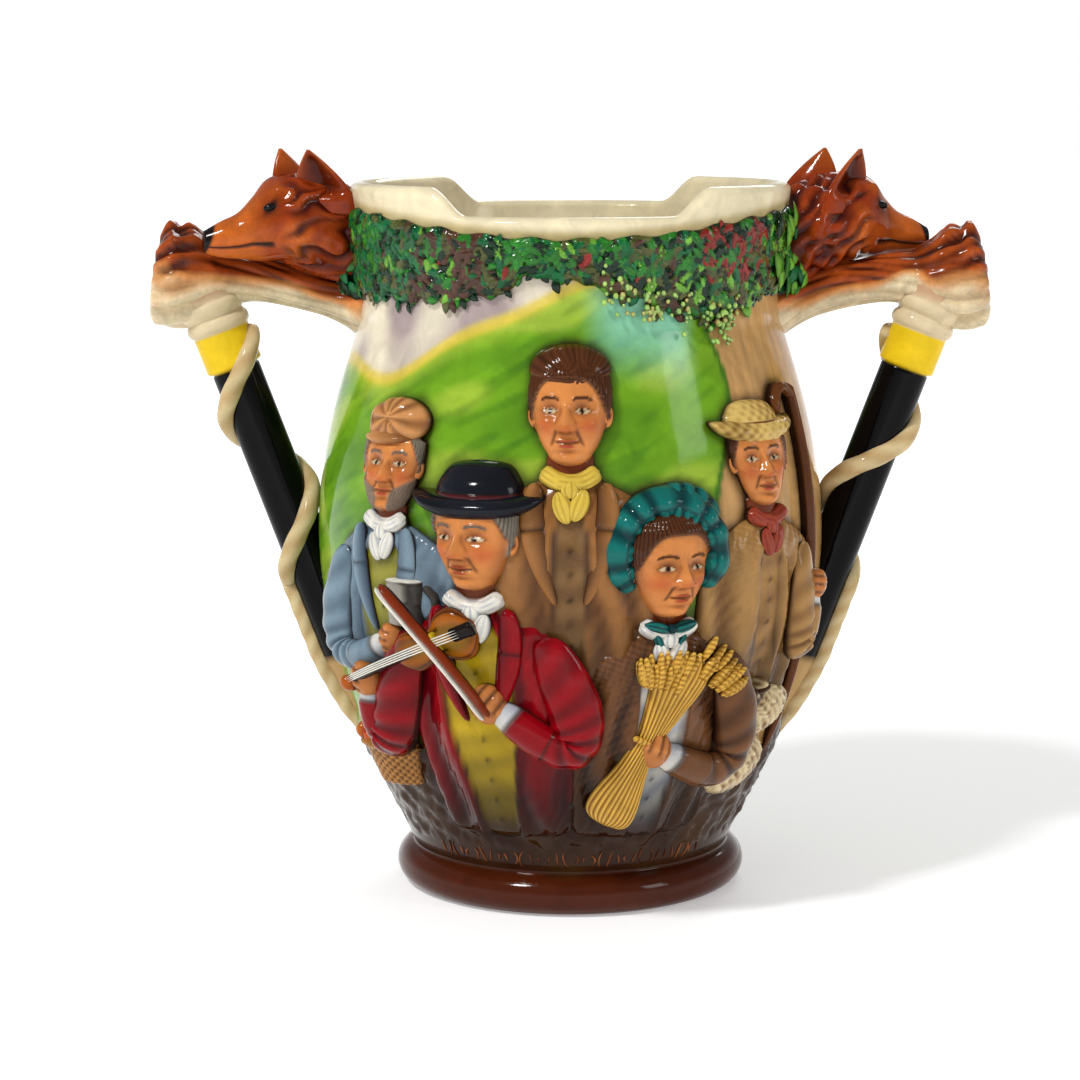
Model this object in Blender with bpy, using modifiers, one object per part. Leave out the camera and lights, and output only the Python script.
"""A two-handled loving cup of glazed earthenware, cast and fired as one piece.

The body is a turned form with a country gathering in relief under a band of leaves. Each
handle is a hunting crop: its stag-horn grip leaves the cup below a fox's head, and its
shaft, bound with a thong, slopes back to the belly. Metres, +Z up, the front faces -Y and
the origin is on the table, under the middle of the foot.
"""

import math

import bmesh
import bpy
import numpy as np
from mathutils import Matrix, Vector

MM = 0.001

# Cup body
WALL = 5.0 * MM
FLOOR_THICKNESS = 7.0 * MM
RIM_HEIGHT = 212.0 * MM
RIM_RADIUS = 66.0 * MM
RIM_ROUNDING = 1.2 * MM
RIM_DIP = 8.0 * MM
RIM_DIP_DEPTH = 18.0 * MM
RIM_DIP_FLAT = math.radians(27)
RIM_DIP_END = math.radians(39)
NECK_HEIGHT = 174.0 * MM
NECK_RADIUS = 62.0 * MM
BELLY_HEIGHT = 108.0 * MM
BELLY_RADIUS = 76.0 * MM
WAIST_HEIGHT = 19.5 * MM
WAIST_RADIUS = 51.0 * MM
FOOT_RADIUS = 53.0 * MM
FOOT_BEAD = 6.0 * MM
FOOT_RING_WIDTH = 5.5 * MM
FOOT_RECESS = 2.5 * MM
FLOOR_CORNER_HEIGHT = 6.0 * MM
FLOOR_CORNER_WIDTH = 4.0 * MM
JOIN_SOFTNESS = 1.6 * MM

# Mesh fineness
COLUMNS = 36
CAVITY_COLUMNS = 24
ROWS = 11
CAVITY_ROWS = 6
FRONT_CROWDING = 0.15
PEBBLE_RINGS = 5
PEBBLE_END = math.radians(78)
SIDES = 8
HANDLE_SIDES = 10

# Crop handles
HANDLE_REACH = 126.0 * MM
HANDLE_ROOT_SINK = 3.5 * MM
HORN_HEIGHT = 174.0 * MM
HORN_RADIUS = 6.9 * MM
HORN_RISE = 9.5 * MM
BURR_RADIUS = 15.5 * MM
BURR_LENGTH = 28.0 * MM
SHAFT_RADIUS = 7.4 * MM
SHAFT_INSET = 15.0 * MM
SHAFT_FOOT_HEIGHT = 42.0 * MM
SHAFT_FOOT_SINK = 3.0 * MM
COLLAR_RADIUS = 8.6 * MM
COLLAR_START = 19.0 * MM
COLLAR_LENGTH = 10.0 * MM
COLLAR_BEAD = 0.9 * MM
COLLAR_BEAD_HALF_WIDTH = 1.5 * MM
COLLAR_BEADS_ABOVE = (9.0 * MM, 4.0 * MM)
THONG_START = 1.0 * MM
KEEPER_LENGTH = 32.0 * MM
THONG_RADIUS = 2.8 * MM
THONG_PITCH = 50.0 * MM
THONG_TURNS = 1.5
THONG_STEP = 7.5 * MM

# The burr's flare, as shares of its length and of its radius
BURR_SECTIONS = (
    (0.00, 0.45),
    (0.15, 0.52),
    (0.32, 0.72),
    (0.50, 0.92),
    (0.68, 1.00),
    (0.86, 0.98),
    (0.96, 0.90),
    (1.00, 0.78),
)

# Fox heads, each section as shares of the length, height, height and height:
# how far forward, its lowest and its highest point, and its half width
FOX_LENGTH = 49.0 * MM
FOX_HEIGHT = 27.0 * MM
FOX_TURN = math.radians(17)
FOX_SECTIONS = (
    (0.00, -0.36, 0.71, 0.42),
    (0.18, -0.26, 0.82, 0.50),
    (0.36, -0.14, 0.90, 0.52),
    (0.52, -0.02, 0.93, 0.47),
    (0.63, 0.05, 0.87, 0.38),
    (0.70, 0.09, 0.72, 0.29),
    (0.78, 0.11, 0.57, 0.23),
    (0.90, 0.13, 0.46, 0.18),
    (1.00, 0.18, 0.36, 0.11),
)
EAR_HEIGHT = 13.5 * MM
EAR_WIDTH = 15.0 * MM
EAR_SPREAD = 8.5 * MM
EAR_STAGGER = 2.5 * MM
EAR_TURN = math.radians(60)
EAR_LEAN = 4.5 * MM

# Leaf garland round the neck, and the ground under the figures
GARLAND_TOP = 202.0 * MM
GARLAND_BOTTOM = 176.0 * MM
GARLAND_RELIEF = 3.4 * MM
GARLAND_CLUMPS = 13
GROUND_TOP = 44.0 * MM
GROUND_RELIEF = 1.6 * MM
GROUND_FADE = 12.0 * MM

# Figures, as (place to the right of the front, chin height, head height, how proud)
OLD_MAN = (-63.0 * MM, 112.0 * MM, 25.0 * MM, 5.0 * MM)
YOUNG_MAN = (3.0 * MM, 141.0 * MM, 26.0 * MM, 5.0 * MM)
SHEPHERD = (60.0 * MM, 121.0 * MM, 25.0 * MM, 5.0 * MM)
GLEANER = (27.0 * MM, 93.0 * MM, 30.0 * MM, 7.5 * MM)
FIDDLER = (-26.0 * MM, 101.0 * MM, 31.0 * MM, 8.5 * MM)
COAT_BOTTOM = 28.0 * MM
REAR_COAT_BOTTOM = GROUND_TOP + 10.0 * MM

# Sheep and basket, as (place to the right of the front, height, size)
SHEEP = ((72.0 * MM, 60.0 * MM, 12.0 * MM), (64.0 * MM, 44.0 * MM, 14.0 * MM))
APPLE_BASKET = (-70.0 * MM, 48.0 * MM, 15.0 * MM)

# The back, with a cottage between two oaks
BACK_RELIEF = 7.0 * MM
COTTAGE_SILL = GROUND_TOP + 18.0 * MM
COTTAGE_EAVES = 98.0 * MM
COTTAGE_RIDGE = 122.0 * MM
COTTAGE_HALF_WIDTH = 28.0 * MM
CHIMNEY_HALF_WIDTH = 4.5 * MM
CHIMNEY_HEIGHT = 10.0 * MM
OAK_PLACE = 62.0 * MM
OAK_TRUNK = 7.0 * MM
OAK_CROWN = 16.0 * MM


def smooth_max(first, second, softness):
    """The larger of two heights, with the corner between them rounded by softness."""
    gap = np.clip(0.5 + 0.5 * (first - second) / softness, 0.0, 1.0)
    return second + (first - second) * gap + softness * gap * (1.0 - gap)


def smooth_step(value, start, end):
    """0 below start, 1 above end, and an S-curve between."""
    t = np.clip((value - start) / (end - start), 0.0, 1.0)
    return t * t * (3.0 - 2.0 * t)


def wall_radius(height):
    """Outer radius of the plain wall: foot bead, belly arcs and neck, softly joined."""
    height = np.asarray(height, float)
    rise = (height - WAIST_HEIGHT) / (BELLY_HEIGHT - WAIST_HEIGHT)
    lower = WAIST_RADIUS + (BELLY_RADIUS - WAIST_RADIUS) * np.sin(rise * math.pi / 2)
    fall = (height - BELLY_HEIGHT) / (NECK_HEIGHT - BELLY_HEIGHT)
    upper = NECK_RADIUS + (BELLY_RADIUS - NECK_RADIUS) * np.cos(fall * math.pi / 2)
    belly = np.where(height < BELLY_HEIGHT, lower, upper)
    flare = np.clip((height - NECK_HEIGHT) / (RIM_HEIGHT - NECK_HEIGHT), 0.0, 1.0)
    neck = NECK_RADIUS + (RIM_RADIUS - NECK_RADIUS) * flare**1.3
    below_neck = np.clip(NECK_HEIGHT - height, 0.0, None)
    body = smooth_max(belly, neck - 0.6 * below_neck, 2 * JOIN_SOFTNESS)
    bead_half = np.sqrt(np.clip(FOOT_BEAD**2 - (height - FOOT_BEAD) ** 2, 0.0, None))
    bead = FOOT_RADIUS - FOOT_BEAD + bead_half
    above_bead = np.clip(height - 2 * FOOT_BEAD, 0.0, None)
    return smooth_max(body, bead - above_bead, JOIN_SOFTNESS)


def rim_drop(turn):
    """How far the rim lies below its height beside the handles, at an angle from the front."""
    from_centre = np.minimum(np.abs(turn), math.pi - np.abs(turn))
    return RIM_DIP * (1.0 - smooth_step(from_centre, RIM_DIP_FLAT, RIM_DIP_END))


def on_wall(u, v, out):
    """Points by their way round from the front at the belly, height and way out of the wall."""
    turn = u / BELLY_RADIUS
    radius = wall_radius(v) + out
    return np.stack([radius * np.sin(turn), -radius * np.cos(turn), v], axis=-1)


def new_object(name, mesh):
    """Puts a mesh in the scene under a name."""
    made = bpy.data.objects.new(name, mesh)
    bpy.context.scene.collection.objects.link(made)
    return made


def evaluated(source):
    """An object's mesh with its modifiers applied, as a new object in its place."""
    bpy.context.view_layer.update()
    graph = bpy.context.evaluated_depsgraph_get()
    mesh = bpy.data.meshes.new_from_object(source.evaluated_get(graph))
    name = source.name
    bpy.data.objects.remove(source)
    mesh.name = name
    return new_object(name, mesh)


def welded(source):
    """The evaluated mesh of a turned or bevelled object, with its seams and caps joined."""
    made = evaluated(source)
    bm = bmesh.new()
    bm.from_mesh(made.data)
    bmesh.ops.remove_doubles(bm, verts=bm.verts, dist=1e-5)
    bmesh.ops.recalc_face_normals(bm, faces=bm.faces)
    bm.to_mesh(made.data)
    bm.free()
    return made


def turned(name, profile, steps):
    """A solid turned about Z from a profile of (radius, height) points."""
    mesh = bpy.data.meshes.new(name)
    points = [(radius, 0.0, height) for radius, height in profile]
    mesh.from_pydata(points, [(i, i + 1) for i in range(len(points) - 1)], [])
    made = new_object(name, mesh)
    screw = made.modifiers.new("Turn", "SCREW")
    screw.steps = steps
    screw.render_steps = steps
    screw.use_merge_vertices = True
    screw.merge_threshold = 1e-5
    return welded(made)


def tube(name, points, radius):
    """A capped round tube along points."""
    curve = bpy.data.curves.new(name, "CURVE")
    curve.dimensions = "3D"
    curve.bevel_depth = radius
    curve.bevel_resolution = 1
    curve.use_fill_caps = True
    line = curve.splines.new("POLY")
    line.points.add(len(points) - 1)
    for spot, point in zip(line.points, points):
        spot.co = (*point, 1.0)
    return welded(new_object(name, curve))


def loft(name, rings):
    """A closed skin over rings of points: each ring joined to the next, the ends capped."""
    bm = bmesh.new()
    loops = [[bm.verts.new(point) for point in ring] for ring in rings]
    for first, second in zip(loops, loops[1:]):
        for i in range(len(first)):
            bm.faces.new((first[i - 1], first[i], second[i], second[i - 1]))
    bm.faces.new(loops[0])
    bm.faces.new(loops[-1])
    bmesh.ops.recalc_face_normals(bm, faces=bm.faces)
    mesh = bpy.data.meshes.new(name)
    bm.to_mesh(mesh)
    bm.free()
    return new_object(name, mesh)


def pressed_together(base, shapes):
    """One solid of the base and every shape on it, with no pocket left between them."""
    clay = bpy.data.collections.new("clay")
    for shape in shapes:
        clay.objects.link(shape)
    join = base.modifiers.new("Join", "BOOLEAN")
    join.operation = "UNION"
    join.operand_type = "COLLECTION"
    join.collection = clay
    join.solver = "MANIFOLD"
    made = evaluated(base)
    for shape in shapes:
        bpy.data.objects.remove(shape)
    bpy.data.collections.remove(clay)
    fill_pockets(made.data)
    return made


def fill_pockets(mesh):
    """Removes every closed shell but the largest, which fills the pockets inside it."""
    bm = bmesh.new()
    bm.from_mesh(mesh)
    left = set(bm.faces)
    shells = []
    while left:
        shell = set()
        front = {next(iter(left))}
        while front:
            shell |= front
            edges = {edge for face in front for edge in face.edges}
            front = {near for edge in edges for near in edge.link_faces} - shell
        shells.append(shell)
        left -= shell
    shells.sort(key=len)
    for pocket in shells[:-1]:
        bmesh.ops.delete(bm, geom=list(pocket), context="FACES")
    bm.to_mesh(mesh)
    bm.free()


def band(path, half_widths, proud, lift=0.0, fullness=1.0, sides=SIDES):
    """A rounded bar of clay on the wall along (u, v) points, fuller and squarer below 1."""
    path = np.asarray(path, float)
    half = np.broadcast_to(half_widths, len(path))[:, None]
    height = np.broadcast_to(proud, len(path))[:, None]
    along = np.gradient(path, axis=0)
    along /= np.linalg.norm(along, axis=1, keepdims=True)
    across = np.stack([-along[:, 1], along[:, 0]], axis=1)
    around = np.linspace(0.0, 2 * math.pi, sides, endpoint=False)
    wide = np.sign(np.cos(around)) * np.abs(np.cos(around)) ** fullness
    high = np.sign(np.sin(around)) * np.abs(np.sin(around)) ** fullness
    flat = path[:, None] + across[:, None] * (half * wide)[..., None]
    return loft("band", on_wall(flat[..., 0], flat[..., 1], lift + height * high))


def bend(start, middle, end, count=5):
    """Points along a smooth bend that leaves start and ends at end, drawn towards middle."""
    t = np.linspace(0.0, 1.0, count)[:, None]
    start, middle, end = (np.asarray(point, float) for point in (start, middle, end))
    return (1 - t) ** 2 * start + 2 * t * (1 - t) * middle + t**2 * end


def pebble(centre, half_width, half_height, proud, lift=0.0, lean=0.0, sides=SIDES):
    """An ellipse of clay on the wall, rounded all over, its long axis leaning to the right."""
    spread = np.linspace(-1.0, 1.0, PEBBLE_RINGS) * PEBBLE_END
    reach = half_height * np.sin(spread) / math.sin(PEBBLE_END)
    path = np.asarray(centre) + reach[:, None] * np.array([math.sin(lean), math.cos(lean)])
    size = np.cos(spread)
    return band(path, half_width * size, proud * size**0.7, lift, sides=sides)


def head(place, chin, size, proud):
    """A head with its nose, and the neck below it."""
    skull = pebble((place, chin + 0.5 * size), 0.37 * size, 0.52 * size, proud, 0.25 * proud)
    nose_top = (place, chin + 0.58 * size)
    nose_tip = (place, chin + 0.34 * size)
    nose = band(bend(nose_top, nose_top, nose_tip, 3), (0.04 * size, 0.07 * size, 0.1 * size),
                0.16 * size, 1.0 * proud, sides=6)
    neck = band(((place, chin + 0.1 * size), (place, chin - 0.35 * size)), 0.24 * size,
                0.6 * proud)
    return [skull, nose, neck]


def coat(place, chin, size, proud, bottom):
    """Sloping shoulders and a coat that runs down to the ground or behind a neighbour."""
    top = chin - 0.12 * size
    heights = np.array([top, top - 0.2 * size, top - 0.42 * size, chin - 1.4 * size, bottom])
    widths = size * np.array([0.26, 0.62, 0.8, 0.86, 0.92])
    path = np.stack([np.full(5, place), heights], axis=1)
    return [band(path, widths, proud * np.array([0.4, 0.7, 0.8, 0.85, 0.45]))]


def lapels(place, chin, size, proud):
    """Two coat fronts that meet below the neckcloth, and the neckcloth's knot."""
    shapes = []
    for side in (-1, 1):
        top = (place + side * 0.34 * size, chin - 0.12 * size)
        middle = (place + side * 0.36 * size, chin - 0.6 * size)
        low = (place + side * 0.06 * size, chin - 1.25 * size)
        shapes.append(band(bend(top, middle, low), 0.09 * size, 0.3 * proud, 0.75 * proud, sides=6))
    knot = pebble((place, chin - 0.2 * size), 0.16 * size, 0.2 * size, 0.35 * proud, 0.7 * proud)
    return [*shapes, knot]


def arm(shoulder, elbow, hand, thickness, lift):
    """A bent sleeve and the fist at its end."""
    path = bend(shoulder, 2 * np.array(elbow) - 0.5 * (np.array(shoulder) + np.array(hand)), hand)
    sleeve = band(path, thickness * np.linspace(1.1, 0.75, len(path)), thickness, lift, sides=6)
    fist = pebble(hand, 0.85 * thickness, 0.95 * thickness, thickness, lift, sides=6)
    return [sleeve, fist]


def wide_hat(place, chin, size, proud, crown):
    """A felt or straw hat: a brim right across and a crown of a given height over it."""
    brow = chin + 0.76 * size
    brim = pebble((place, brow), 0.64 * size, 0.12 * size, 1.25 * proud, 0.2 * proud)
    path = ((place, brow), (place, brow + 0.5 * crown), (place, brow + crown))
    widths = (0.42 * size, 0.4 * size, 0.26 * size)
    return [brim, band(path, widths, (1.1 * proud, 1.05 * proud, 0.7 * proud))]


def bonnet(place, chin, size, proud):
    """A gathered bonnet whose hood stands round the face."""
    middle = (place, chin + 0.62 * size)
    sweep = np.linspace(-0.25 * math.pi, 1.25 * math.pi, 10)
    ring = np.stack([np.cos(sweep) * 0.46 * size, np.sin(sweep) * 0.48 * size], axis=1)
    hood = band(ring + middle, 0.13 * size, proud, 0.2 * proud)
    crown = pebble((place + 0.1 * size, chin + 0.86 * size), 0.42 * size, 0.3 * size, proud)
    return [hood, crown]


def soft_cap(place, chin, size, proud):
    """A flat cap, or thick hair, over the top of the head."""
    crown = pebble((place, chin + 0.9 * size), 0.44 * size, 0.26 * size, 1.15 * proud, 0.2 * proud)
    return [crown]


def fiddler():
    """The man in front: hat, open coat, and a fiddle held across him with its bow."""
    place, chin, size, proud = FIDDLER
    fiddle = (place - 0.45 * size, chin - 0.52 * size)
    scroll = (place - 1.45 * size, chin - 1.0 * size)
    lower = (place - 0.12 * size, chin - 0.36 * size)
    return [
        *coat(place, chin, size, proud, COAT_BOTTOM),
        *lapels(place, chin, size, proud),
        *head(place, chin, size, proud),
        *wide_hat(place, chin, size, proud, 0.4 * size),
        *arm((place - 0.72 * size, chin - 0.6 * size), (place - 1.15 * size, chin - 1.55 * size),
             (place - 1.2 * size, chin - 0.95 * size), 0.2 * size, 0.7 * proud),
        *arm((place + 0.75 * size, chin - 0.6 * size), (place + 0.95 * size, chin - 1.6 * size),
             (place + 0.1 * size, chin - 1.05 * size), 0.21 * size, 0.7 * proud),
        pebble(lower, 0.21 * size, 0.25 * size, 0.4 * proud, 0.95 * proud, 1.1),
        pebble(fiddle, 0.16 * size, 0.24 * size, 0.4 * proud, 0.95 * proud, 1.1),
        band((fiddle, scroll), 0.05 * size, 0.3 * proud, 0.95 * proud, sides=6),
        band(bend((place + 0.15 * size, chin - 1.1 * size), (place - 0.2 * size, chin - 0.6 * size),
                  (place - 0.75 * size, chin - 0.1 * size)), 0.03 * size, 0.3 * proud, 1.1 * proud,
             sides=6),
    ]


def gleaner():
    """The woman in front: bonnet, shawl, and a sheaf of wheat in her arm."""
    place, chin, size, proud = GLEANER
    foot = (place - 0.5 * size, chin - 2.1 * size)
    tie = (place - 0.12 * size, chin - 1.2 * size)
    ears = (place + 0.25 * size, chin - 0.35 * size)
    sheaf = bend(foot, tie, ears, 7)
    return [
        *coat(place, chin, size, proud, COAT_BOTTOM),
        *head(place, chin, size, proud),
        *bonnet(place, chin, size, proud),
        band(sheaf, size * np.array([0.34, 0.28, 0.18, 0.14, 0.2, 0.3, 0.34]), 0.6 * proud,
             0.65 * proud),
        *arm((place + 0.74 * size, chin - 0.6 * size), (place + 0.9 * size, chin - 1.6 * size),
             (place - 0.05 * size, chin - 1.3 * size), 0.2 * size, 0.75 * proud),
    ]


def old_man():
    """The old man on the left, in a flat cap, with a tankard."""
    place, chin, size, proud = OLD_MAN
    mug = (place + 0.3 * size, chin - 1.15 * size)
    return [
        *coat(place, chin, size, proud, REAR_COAT_BOTTOM),
        *head(place, chin, size, proud),
        *soft_cap(place, chin, size, proud),
        *arm((place - 0.68 * size, chin - 0.6 * size), (place - 0.7 * size, chin - 1.6 * size),
             (place + 0.12 * size, chin - 1.3 * size), 0.19 * size, 0.7 * proud),
        band((mug, (mug[0], mug[1] + 0.5 * size)), 0.2 * size, 0.9 * proud, 0.5 * proud, 0.6, 8),
    ]


def young_man():
    """The bare-headed young man who looks over the others' shoulders."""
    place, chin, size, proud = YOUNG_MAN
    return [
        *coat(place, chin, size, proud, chin - 2.0 * size),
        *head(place, chin, size, proud),
        *soft_cap(place, chin, size, proud),
    ]


def shepherd():
    """The shepherd on the right, in a straw hat and a smock, with his crook."""
    place, chin, size, proud = SHEPHERD
    grip = (place + 0.75 * size, chin - 0.9 * size)
    crook = place + 0.8 * size
    top = chin + 0.95 * size
    sweep = np.linspace(0.0, 1.1 * math.pi, 6)
    hook = np.stack([np.cos(sweep), np.sin(sweep)], axis=1) * 0.2 * size
    staff = np.array([(crook, GROUND_TOP), (crook, 0.5 * (GROUND_TOP + top)), (crook, top)])
    return [
        *coat(place, chin, size, proud, REAR_COAT_BOTTOM),
        *head(place, chin, size, proud),
        *wide_hat(place, chin, size, proud, 0.3 * size),
        band(np.concatenate([staff, hook[1:] + (crook - 0.2 * size, top)]), 0.06 * size,
             0.45 * proud, 0.4 * proud, sides=6),
        *arm((place + 0.6 * size, chin - 0.5 * size), (place + 0.6 * size, chin - 1.5 * size), grip,
             0.18 * size, 0.7 * proud),
    ]


def sheep(place, height, size):
    """One sheep: its fleece and its head."""
    face = (place - 1.0 * size, height + 0.45 * size)
    return [
        pebble((place, height), 0.68 * size, size, 0.5 * size, lean=1.45),
        pebble(face, 0.3 * size, 0.42 * size, 0.6 * size, lean=-0.5),
    ]


def apple_basket():
    """A round basket heaped with apples."""
    place, height, size = APPLE_BASKET
    path = ((place, height - 0.7 * size), (place, height + 0.1 * size))
    rim = (place, height + 0.12 * size)
    apples = [
        pebble((place + along * size, height + up * size), 0.26 * size, 0.26 * size, 0.55 * size)
        for along, up in ((-0.55, 0.3), (0.0, 0.42), (0.55, 0.3))
    ]
    return [
        *apples,
        band(path, (0.68 * size, 0.92 * size), 0.5 * size),
        pebble(rim, size, 0.16 * size, 0.62 * size),
    ]


def cottage_and_oaks():
    """The plainer back: a cottage with its chimney, between two oaks."""
    back = math.pi * BELLY_RADIUS
    half = COTTAGE_HALF_WIDTH
    thatch = COTTAGE_RIDGE - COTTAGE_EAVES
    chimney = back + 0.5 * half
    shapes = [
        band(((back, COTTAGE_SILL), (back, COTTAGE_EAVES)), half, 0.8 * BACK_RELIEF,
             fullness=0.35, sides=12),
        band(((back, COTTAGE_EAVES - 0.12 * thatch), (back, COTTAGE_RIDGE)),
             (1.2 * half, 0.85 * half), BACK_RELIEF, fullness=0.45, sides=12),
        band(((chimney, COTTAGE_RIDGE - 0.25 * thatch), (chimney, COTTAGE_RIDGE + CHIMNEY_HEIGHT)),
             CHIMNEY_HALF_WIDTH, 0.9 * BACK_RELIEF, fullness=0.5, sides=8),
    ]
    for side in (-1, 1):
        place = back + side * OAK_PLACE
        high = place - side * 0.4 * OAK_TRUNK
        trunk = ((place, GROUND_TOP), (place, 0.5 * (GROUND_TOP + GARLAND_BOTTOM)),
                 (high, GARLAND_BOTTOM))
        widths = (1.2 * OAK_TRUNK, 0.8 * OAK_TRUNK, 0.95 * OAK_TRUNK)
        shapes.append(band(trunk, widths, 0.7 * BACK_RELIEF))
        for along in (-0.6, 0.6):
            crown = (place + along * OAK_CROWN, GARLAND_BOTTOM - 0.9 * OAK_CROWN)
            shapes.append(pebble(crown, OAK_CROWN, OAK_CROWN, 0.8 * BACK_RELIEF))
    return shapes


def garland(side):
    """Half of the leaf garland, from handle to handle, on the front (1) or the back (-1)."""
    reach = 0.5 * math.pi * BELLY_RADIUS
    along = np.linspace(-reach, reach, 2 * GARLAND_CLUMPS + 1)
    phase = math.pi * GARLAND_CLUMPS * (along + reach) / (2 * reach)
    clump = np.abs(np.sin(phase))
    half = 0.5 * (GARLAND_TOP - GARLAND_BOTTOM)
    sway = 0.16 * half * np.cos(2.0 * phase + 0.8)
    middle = 0.5 * (GARLAND_TOP + GARLAND_BOTTOM) + sway
    if side < 0:
        along = along + math.pi * BELLY_RADIUS
    path = np.stack([along, middle], axis=1)
    return band(path, half * (0.78 + 0.22 * clump), GARLAND_RELIEF * (0.5 + 0.5 * clump),
                sides=6)


def outer_profile():
    """Points of the outside from the top's centre down the wall to the foot's recess."""
    heights = np.concatenate(
        [
            np.linspace(RIM_HEIGHT - RIM_ROUNDING, NECK_HEIGHT, 4, endpoint=False),
            np.linspace(NECK_HEIGHT, WAIST_HEIGHT, ROWS, endpoint=False),
            np.linspace(WAIST_HEIGHT, 0.0, 5),
        ]
    )
    points = [(0.0, RIM_HEIGHT), (RIM_RADIUS - RIM_ROUNDING, RIM_HEIGHT)]
    points += [(float(wall_radius(h)), float(h)) for h in heights]
    ring = FOOT_RADIUS - FOOT_BEAD - FOOT_RING_WIDTH
    points += [(ring, 0.0), (ring - 0.6 * FOOT_RECESS, FOOT_RECESS), (0.0, FOOT_RECESS)]
    return points


def carve(body):
    """Crowds the columns to the front, lowers the rim's dips and raises the ground."""
    count = len(body.data.vertices)
    places = np.empty(count * 3)
    body.data.vertices.foreach_get("co", places)
    places = places.reshape(-1, 3)
    radius = np.hypot(places[:, 0], places[:, 1])
    turn = np.arctan2(places[:, 0], -places[:, 1])
    turn = turn - FRONT_CROWDING * np.sin(turn)
    height = places[:, 2]
    on_outside = (radius > 0.97 * wall_radius(height)) & (height > WAIST_HEIGHT)
    near_ground = 1.0 - smooth_step(height, GROUND_TOP, GROUND_TOP + GROUND_FADE)
    ground = GROUND_RELIEF * near_ground * smooth_step(height, WAIST_HEIGHT, GROUND_TOP)
    radius = radius + np.where(on_outside, ground, 0.0)
    lowered = smooth_step(height, RIM_HEIGHT - RIM_DIP_DEPTH, RIM_HEIGHT)
    places[:, 0] = radius * np.sin(turn)
    places[:, 1] = -radius * np.cos(turn)
    places[:, 2] = height - rim_drop(turn) * lowered
    body.data.vertices.foreach_set("co", places.ravel())
    body.data.update()


def cavity():
    """The hollow of the cup: the wall's line set in by its thickness, and past the rim."""
    floor = FOOT_RECESS + FLOOR_THICKNESS
    start = floor + FLOOR_CORNER_HEIGHT
    heights = np.linspace(start, RIM_HEIGHT, CAVITY_ROWS)
    points = [(0.0, RIM_HEIGHT + 2 * WALL), (RIM_RADIUS - WALL, RIM_HEIGHT + 2 * WALL)]
    points += [(float(wall_radius(h)) - WALL, float(h)) for h in heights[::-1]]
    points += [(float(wall_radius(start)) - WALL - FLOOR_CORNER_WIDTH, floor), (0.0, floor)]
    return turned("cavity", points, CAVITY_COLUMNS)


def hollowed(body):
    """The cup with its hollow cut out."""
    hollow = cavity()
    cut = body.modifiers.new("Hollow", "BOOLEAN")
    cut.operation = "DIFFERENCE"
    cut.object = hollow
    cut.solver = "MANIFOLD"
    made = evaluated(body)
    bpy.data.objects.remove(hollow)
    fill_pockets(made.data)
    return made


def ring_across(x, z, half_width, half_height, sides=HANDLE_SIDES, rough=0.0):
    """A ring of points across the X axis, lumpy where rough."""
    around = np.linspace(0.0, 2 * math.pi, sides, endpoint=False)
    lump = 1.0 + rough * np.sin(5 * around)
    return np.stack(
        [
            np.full(sides, x),
            half_width * lump * np.cos(around),
            z + half_height * lump * np.sin(around),
        ],
        axis=1,
    )


def horn():
    """The stag-horn grip: flared at the wall, slim at the middle, and swept up to its burr."""
    root = float(wall_radius(HORN_HEIGHT)) - HANDLE_ROOT_SINK
    end = HANDLE_REACH - 0.35 * BURR_LENGTH
    rings = []
    for t in np.linspace(0.0, 1.0, 7):
        rise = HORN_RISE * math.sin(min(1.0, 1.35 * t) * math.pi / 2)
        size = HORN_RADIUS * (1.0 + 0.7 * max(0.0, 1.0 - 3.5 * t) ** 2 + 0.5 * t**4)
        rings.append(ring_across(root + (end - root) * t, HORN_HEIGHT + rise, 1.1 * size, size))
    return loft("horn", rings)


def burr():
    """The rough crown that the horn flares into at its outer end, lumpy, with a flat face."""
    rings = []
    for along, share in BURR_SECTIONS:
        size = BURR_RADIUS * share
        x = HANDLE_REACH - BURR_LENGTH * (1.0 - along)
        rough = 0.05 * smooth_step(along, 0.1, 0.5)
        rings.append(ring_across(x, HORN_HEIGHT + HORN_RISE, 0.88 * size, size, rough=rough))
    return loft("burr", rings)


def shaft_line():
    """The crop shaft's axis, from inside the horn to where it sinks in the wall."""
    top = Vector((HANDLE_REACH - SHAFT_INSET, 0.0, HORN_HEIGHT + HORN_RISE))
    foot_radius = float(wall_radius(SHAFT_FOOT_HEIGHT)) - SHAFT_FOOT_SINK
    return top, Vector((foot_radius, 0.0, SHAFT_FOOT_HEIGHT))


def shaft_radius(along, length):
    """The bare shaft's radius: even, then drawn in to a point over its keeper."""
    past = max(0.0, along - (length - KEEPER_LENGTH)) / KEEPER_LENGTH
    return SHAFT_RADIUS * (1.0 - 0.75 * past**1.4)


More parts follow.
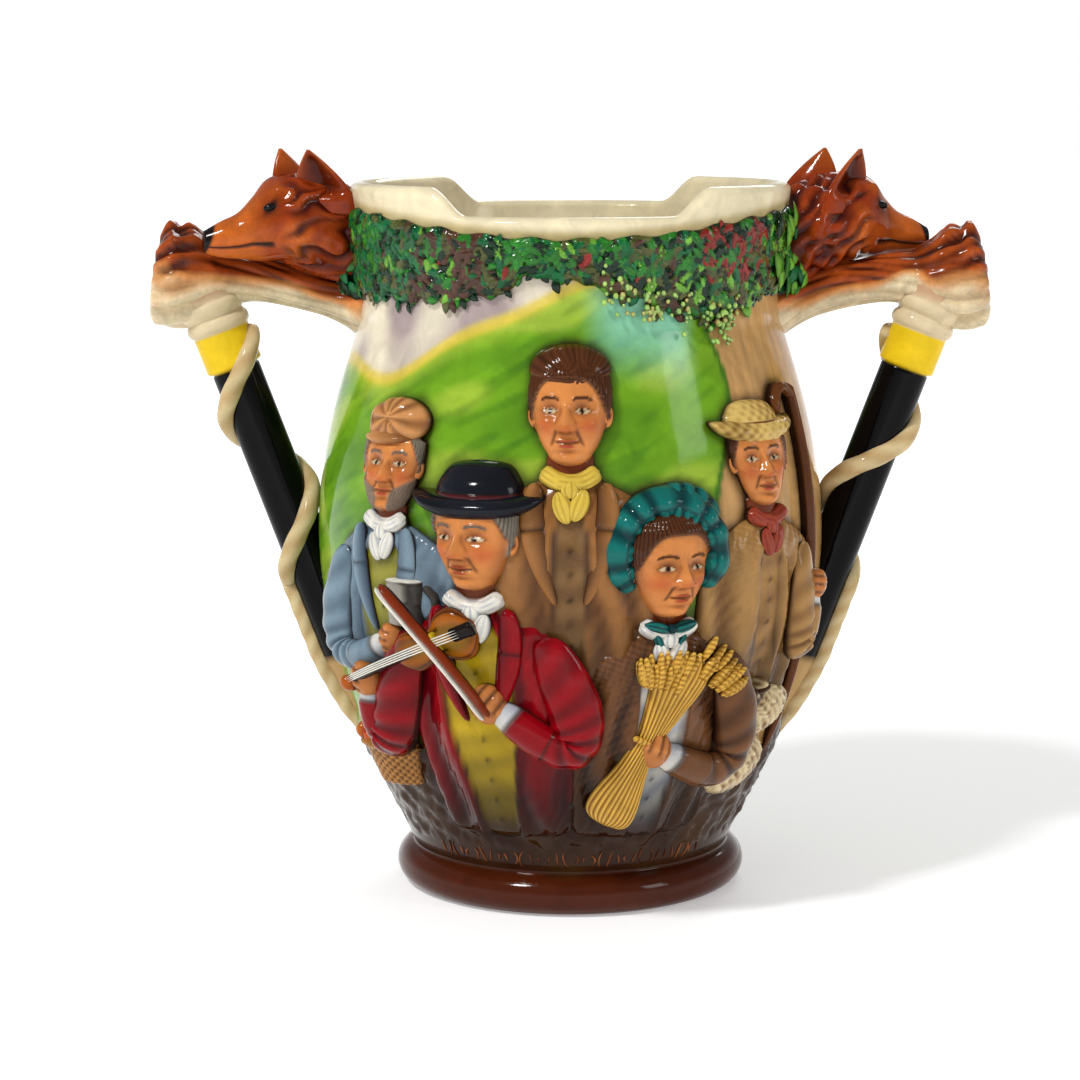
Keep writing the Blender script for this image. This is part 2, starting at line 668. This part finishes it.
def shaft():
    """The shaft with its beads, collar and keeper, turned and then laid on its axis."""
    top, foot = shaft_line()
    length = (foot - top).length
    collar_end = COLLAR_START + COLLAR_LENGTH
    profile = [(0.0, 0.0), (COLLAR_RADIUS, 0.0)]
    for above in COLLAR_BEADS_ABOVE:
        bead = COLLAR_START - above
        profile += [
            (COLLAR_RADIUS, bead - COLLAR_BEAD_HALF_WIDTH),
            (COLLAR_RADIUS + COLLAR_BEAD, bead),
            (COLLAR_RADIUS, bead + COLLAR_BEAD_HALF_WIDTH),
        ]
    step_in = COLLAR_RADIUS - SHAFT_RADIUS
    profile += [(COLLAR_RADIUS, collar_end), (SHAFT_RADIUS, collar_end + 0.5 * step_in)]
    for along in np.linspace(length - KEEPER_LENGTH, length, 5):
        profile.append((shaft_radius(along, length), along))
    profile.append((0.0, length))
    made = turned("shaft", profile, HANDLE_SIDES)
    turn = (foot - top).to_track_quat("Z", "Y").to_matrix().to_4x4()
    made.data.transform(Matrix.Translation(top) @ turn)
    return made


def thong():
    """The leather thong: a helix about the shaft that ends down its outer side."""
    top, foot = shaft_line()
    length = (foot - top).length
    along = (foot - top).normalized()
    outward = Vector((0.0, -1.0, 0.0)).cross(along).normalized()
    sideways = along.cross(outward)
    start = COLLAR_START + THONG_START
    wound = THONG_PITCH * THONG_TURNS
    points = []
    for step in np.arange(0.0, length - start, THONG_STEP):
        turn = math.pi * (1.0 + 2.0 * min(step, wound) / THONG_PITCH)
        away = shaft_radius(start + step, length) + 0.3 * THONG_RADIUS
        spot = top + along * (start + step)
        points.append(spot + (outward * math.cos(turn) + sideways * math.sin(turn)) * away)
    return tube("thong", points, THONG_RADIUS)


def fox_head():
    """The fox's head, from its ruff to its nose."""
    rings = []
    for forward, low, high, half_width in FOX_SECTIONS:
        rings.append(
            ring_across(
                forward * FOX_LENGTH,
                0.5 * (low + high) * FOX_HEIGHT,
                half_width * FOX_HEIGHT,
                0.5 * (high - low) * FOX_HEIGHT,
            )
        )
    return loft("fox_head", rings)


def fox_ear(side):
    """One pricked ear: a pointed blade, its tip leaning forward, rooted in the skull."""
    rings = []
    for t in np.linspace(-0.4, 1.0, 4):
        width = 0.5 * EAR_WIDTH * (1.0 - max(t, 0.0) ** 1.6) + 0.5 * MM
        ring = ring_across(0.0, 0.0, width, 0.32 * width + 0.5 * MM, sides=6)
        rings.append(ring[:, [2, 1, 0]] + (0.15 * EAR_HEIGHT * t, -side * EAR_LEAN * t, EAR_HEIGHT * t))
    made = loft("fox_ear", rings)
    place = (0.34 * FOX_LENGTH - side * EAR_STAGGER, side * EAR_SPREAD, 0.7 * FOX_HEIGHT)
    made.data.transform(Matrix.Translation(place) @ Matrix.Rotation(side * EAR_TURN, 4, "Z"))
    return made


def fox_parts():
    """Head and ears, turned aside and set on the horn against the rim."""
    seat = HORN_HEIGHT + HORN_RISE + HORN_RADIUS
    start = RIM_RADIUS - WALL
    place = Matrix.Translation((start, 0.0, seat)) @ Matrix.Rotation(FOX_TURN, 4, "Z")
    parts = [fox_head(), fox_ear(-1), fox_ear(1)]
    for made in parts:
        made.data.transform(place)
    return parts


def handle_parts(turn):
    """Every shape of one handle, turned about the cup's axis."""
    parts = [horn(), burr(), shaft(), thong(), *fox_parts()]
    for made in parts:
        made.data.transform(Matrix.Rotation(turn, 4, "Z"))
    return parts


def earthenware():
    """The glazed earthenware's plain colour."""
    material = bpy.data.materials.new("glazed_earthenware")
    material.use_nodes = True
    shader = material.node_tree.nodes["Principled BSDF"]
    shader.inputs["Base Color"].default_value = (0.42, 0.30, 0.16, 1.0)
    shader.inputs["Roughness"].default_value = 0.15
    shader.inputs["Metallic"].default_value = 0.0
    return material


def main():
    for old in list(bpy.data.objects):
        bpy.data.objects.remove(old)
    cup = turned("loving_cup", outer_profile(), COLUMNS)
    carve(cup)
    clay = [
        *old_man(),
        *young_man(),
        *shepherd(),
        *gleaner(),
        *fiddler(),
        *sheep(*SHEEP[0]),
        *sheep(*SHEEP[1]),
        *apple_basket(),
        *cottage_and_oaks(),
        garland(1),
        garland(-1),
        *handle_parts(0.0),
        *handle_parts(math.pi),
    ]
    cup = hollowed(pressed_together(cup, clay))
    cup.data.materials.clear()
    cup.data.materials.append(earthenware())
    cup.data.shade_smooth()
    cup.data.set_sharp_from_angle(angle=math.radians(50))
    group = bpy.data.collections.new("loving_cup")
    bpy.context.scene.collection.children.link(group)
    group.objects.link(cup)
    bpy.context.scene.collection.objects.unlink(cup)


main()
